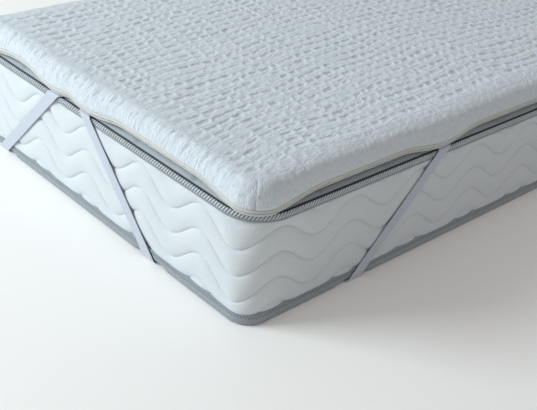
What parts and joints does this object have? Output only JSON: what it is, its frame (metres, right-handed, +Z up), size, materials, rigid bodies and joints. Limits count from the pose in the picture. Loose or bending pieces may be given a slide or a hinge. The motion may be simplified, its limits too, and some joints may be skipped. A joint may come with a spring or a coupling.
{
  "type": "mattress topper on a mattress",
  "caption": "Filled topper with a crinkled cover and a zip round its side, held on a single mattress by elastic corner straps.",
  "frame": {"origin": "middle of the mattress's underside, on the floor", "axes": "+Z up, +Y along the bed from its foot to its head, +X across the bed"},
  "size_m": [0.9082, 2.0088, 0.289],
  "materials": {
    "crinkled_cover": "matte crinkled double knit",
    "cream_tape": "matte woven zip tape",
    "white_elastic": "ribbed woven elastic, slight sheen",
    "quilted_ticking": "matte quilted knit",
    "grey_edge_tape": "twill tape with slanted white stripes"
  },
  "bodies": {
    "root": {"topper_pad": "crinkled_cover", "zip_tape_upper": "cream_tape", "zip_tape_lower": "cream_tape", "strap_foot_right": "white_elastic", "strap_foot_left": "white_elastic", "strap_head_right": "white_elastic", "strap_head_left": "white_elastic", "mattress_body": "quilted_ticking", "edge_tape_top": "grey_edge_tape", "edge_tape_bottom": "grey_edge_tape"}
  },
  "joints": []
}
